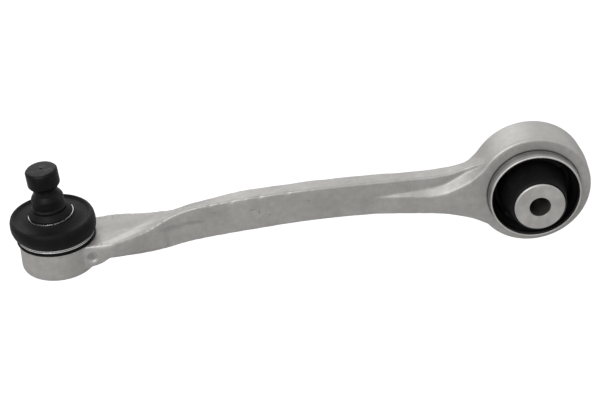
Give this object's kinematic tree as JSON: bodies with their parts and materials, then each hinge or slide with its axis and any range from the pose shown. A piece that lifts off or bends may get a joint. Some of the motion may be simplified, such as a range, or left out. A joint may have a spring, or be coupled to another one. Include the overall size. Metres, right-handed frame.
{
  "type": "suspension control arm",
  "caption": "Forged suspension control arm: curved blade, ball joint with booted stud at one end, rubber bush in an eye at the other.",
  "frame": {"origin": "centre of the bush, on the bolt's axis, midway between the inner sleeve's faces", "axes": "+Y along the bush's bolt; +Z parallel to the axis of the ball joint's housing, the side the stud stands on; the ball joint lies towards -X"},
  "size_m": [0.3441, 0.06, 0.0809],
  "materials": {
    "forged_aluminium": "shot-blasted forging, matt",
    "sleeve_aluminium": "turned, satin",
    "sleeve_steel": "plated, satin",
    "ring_steel": "bright wire",
    "cover_steel": "pressed, satin",
    "dark_steel": "black phosphate",
    "polished_steel": "polished",
    "bearing_plastic": "natural",
    "bush_rubber": "moulded, matt",
    "boot_rubber": "moulded, soft sheen"
  },
  "bodies": {
    "inner_sleeve": {"bush_inner_sleeve": "sleeve_aluminium"},
    "arm": {"arm_forging": "forged_aluminium", "bush_outer_sleeve": "sleeve_steel", "bush_rubber": "bush_rubber", "bearing_shell": "bearing_plastic", "closure_cover": "cover_steel", "lower_clamp_ring": "ring_steel", "dust_boot": "boot_rubber"},
    "ball": {"ball": "polished_steel"},
    "boot_mouth": {"boot_mouth_ring": "dark_steel", "upper_clamp_ring": "ring_steel"},
    "stud": {"stud_pin": "dark_steel"}
  },
  "joints": [
    {"name": "bush_twist", "type": "hinge", "parent": "inner_sleeve", "child": "arm", "pos_m": [0, 0, 0], "axis": [0, 1, 0], "range_deg": [-25, 25], "stiffness_Nm_per_rad": 80},
    {"name": "stud_tilt", "type": "hinge", "parent": "arm", "child": "ball", "pos_m": [-0.2824, 0, -0.0041], "axis": [0, 1, 0], "range_deg": [-20, 20], "deforming": ["dust_boot"]},
    {"name": "stud_cross_tilt", "type": "hinge", "parent": "ball", "child": "boot_mouth", "pos_m": [-0.2824, 0, -0.0041], "axis": [1, 0, 0], "range_deg": [-14, 14]},
    {"name": "stud_spin", "type": "hinge", "parent": "boot_mouth", "child": "stud", "pos_m": [-0.2824, 0, -0.0041], "axis": [-0.0645, 0, 0.9979], "continuous": true}
  ]
}
